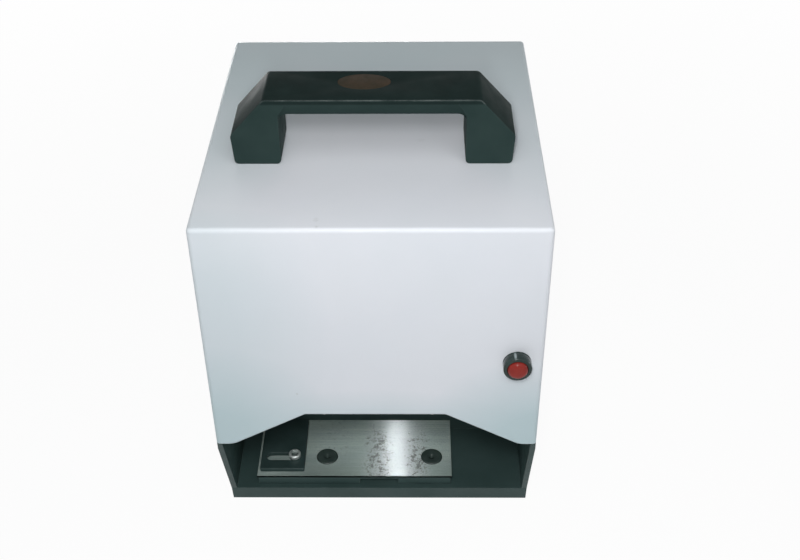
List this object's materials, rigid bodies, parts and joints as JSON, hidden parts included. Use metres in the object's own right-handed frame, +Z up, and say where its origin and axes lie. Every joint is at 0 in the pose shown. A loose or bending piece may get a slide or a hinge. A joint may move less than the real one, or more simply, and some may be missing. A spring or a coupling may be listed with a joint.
{
  "type": "electric paper punching machine",
  "caption": "Desk machine that drills filing holes through stacked paper: folded cover with bridge handle and push button, open throat over a steel table with pads and a side guide.",
  "frame": {"origin": "on the desk, at the middle of the machine's footprint, its button and rear fittings included", "axes": "+Z up, +X to the operator's right, -Y towards the operator; the open throat and the button face -Y"},
  "size_m": [0.2286, 0.27, 0.3195],
  "materials": {
    "white_paint": "semi-gloss white enamel on sheet steel",
    "black_paint": "satin black enamel",
    "black_plastic": "satin black moulding",
    "red_plastic": "glossy dark red",
    "rubber": "matt black",
    "stainless_steel": "brushed",
    "bright_steel": "bright turned steel, lightly oiled",
    "cast_aluminium": "as machined",
    "bronze": "machined bearing bronze",
    "board_green": "solder-masked board",
    "laminations": "varnished dark steel",
    "pad_plastic": "glossy black disc"
  },
  "bodies": {
    "base": {"base_housing": "black_paint", "bottom_plate": "black_paint", "button_bezel": "black_plastic", "button_contact_block": "black_plastic", "button_nut": "bright_steel", "control_board": "board_green", "cover": "white_paint", "cover_screw_left_front": "bright_steel", "cover_screw_left_rear": "bright_steel", "cover_screw_right_front": "bright_steel", "cover_screw_right_rear": "bright_steel", "feed_motor": "laminations", "foot_front_left": "rubber", "foot_front_right": "rubber", "foot_rear_left": "rubber", "foot_rear_right": "rubber", "frame_foot": "cast_aluminium", "guide_post_left": "bright_steel", "guide_post_right": "bright_steel", "handle": "black_plastic", "handle_screw_left": "bright_steel", "handle_screw_right": "bright_steel", "limit_switch_rail": "cast_aluminium", "mains_inlet": "black_plastic", "pad_left": "pad_plastic", "pad_right": "pad_plastic", "screw_bearing": "bronze", "switch_frame": "black_plastic", "table_block": "black_paint", "table_plate": "stainless_steel", "throat_ceiling": "black_paint", "top_plate": "cast_aluminium", "transformer": "laminations"},
    "head": {"head_carriage": "cast_aluminium", "head_plate": "cast_aluminium", "post_bush_left": "bronze", "post_bush_right": "bronze", "screw_nut": "bronze", "tool_motor": "laminations", "bearing_lower_left": "bright_steel", "bearing_lower_right": "bright_steel", "bearing_upper_left": "bright_steel", "bearing_upper_right": "bright_steel", "chip_cup_left": "black_plastic", "chip_cup_right": "black_plastic"},
    "feed_screw": {"lead_screw": "bright_steel", "screw_gear": "bright_steel"},
    "feed_drive": {"feed_pinion": "bright_steel"},
    "spindle_left_unit": {"spindle_left": "bright_steel", "spindle_gear_left": "bright_steel", "hollow_bit_left": "bright_steel"},
    "spindle_right_unit": {"spindle_right": "bright_steel", "spindle_gear_right": "bright_steel", "hollow_bit_right": "bright_steel"},
    "tool_drive": {"drive_pinion": "bright_steel"},
    "start_button": {"button_cap": "red_plastic"},
    "rocker": {"power_rocker": "black_plastic"},
    "guide": {"side_guide": "black_plastic"},
    "clamp": {"guide_clamp_screw": "bright_steel"}
  },
  "joints": [
    {"name": "head_slide", "type": "slide", "parent": "base", "child": "head", "axis": [0, 0, -1], "range_m": [0, 0.046]},
    {"name": "lead_screw_turn", "type": "hinge", "parent": "base", "child": "feed_screw", "pos_m": [0, 0.00056, 0.13], "axis": [0, 0, 1], "range_deg": [0, 4142]},
    {"name": "feed_pinion_turn", "type": "hinge", "parent": "base", "child": "feed_drive", "pos_m": [0, 0.03056, 0.2601], "axis": [0, 0, 1], "range_deg": [-7692, 0]},
    {"name": "spindle_left_turn", "type": "hinge", "parent": "head", "child": "spindle_left_unit", "pos_m": [-0.04, -0.07284, 0.179], "axis": [0, 0, 1], "continuous": true},
    {"name": "spindle_right_turn", "type": "hinge", "parent": "head", "child": "spindle_right_unit", "pos_m": [0.04, -0.07284, 0.179], "axis": [0, 0, 1], "continuous": true},
    {"name": "tool_motor_turn", "type": "hinge", "parent": "head", "child": "tool_drive", "pos_m": [0, -0.07284, 0.179], "axis": [0, 0, 1], "continuous": true},
    {"name": "button_press", "type": "slide", "parent": "base", "child": "start_button", "axis": [0, 1, 0], "range_m": [0, 0.003], "stiffness_N_per_m": 600, "springref_m": -0.0015},
    {"name": "power_rocker_tilt", "type": "hinge", "parent": "base", "child": "rocker", "pos_m": [0.02, 0.12756, 0.046], "axis": [-1, 0, 0], "range_deg": [0, 20]},
    {"name": "side_guide_slide", "type": "slide", "parent": "base", "child": "guide", "axis": [1, 0, 0], "range_m": [0, 0.008]},
    {"name": "guide_clamp_screw_turn", "type": "hinge", "parent": "base", "child": "clamp", "pos_m": [-0.06445, -0.07624, 0.024], "axis": [0, 0, 1], "range_deg": [0, 720]}
  ],
  "couplings": [
    {"joint": "lead_screw_turn", "follows": "head_slide", "rad_per_m": 1570.8},
    {"joint": "feed_pinion_turn", "follows": "head_slide", "rad_per_m": -2917.2},
    {"joint": "spindle_right_turn", "follows": "spindle_left_turn", "ratio": 1},
    {"joint": "tool_motor_turn", "follows": "spindle_left_turn", "ratio": -1.8571}
  ]
}
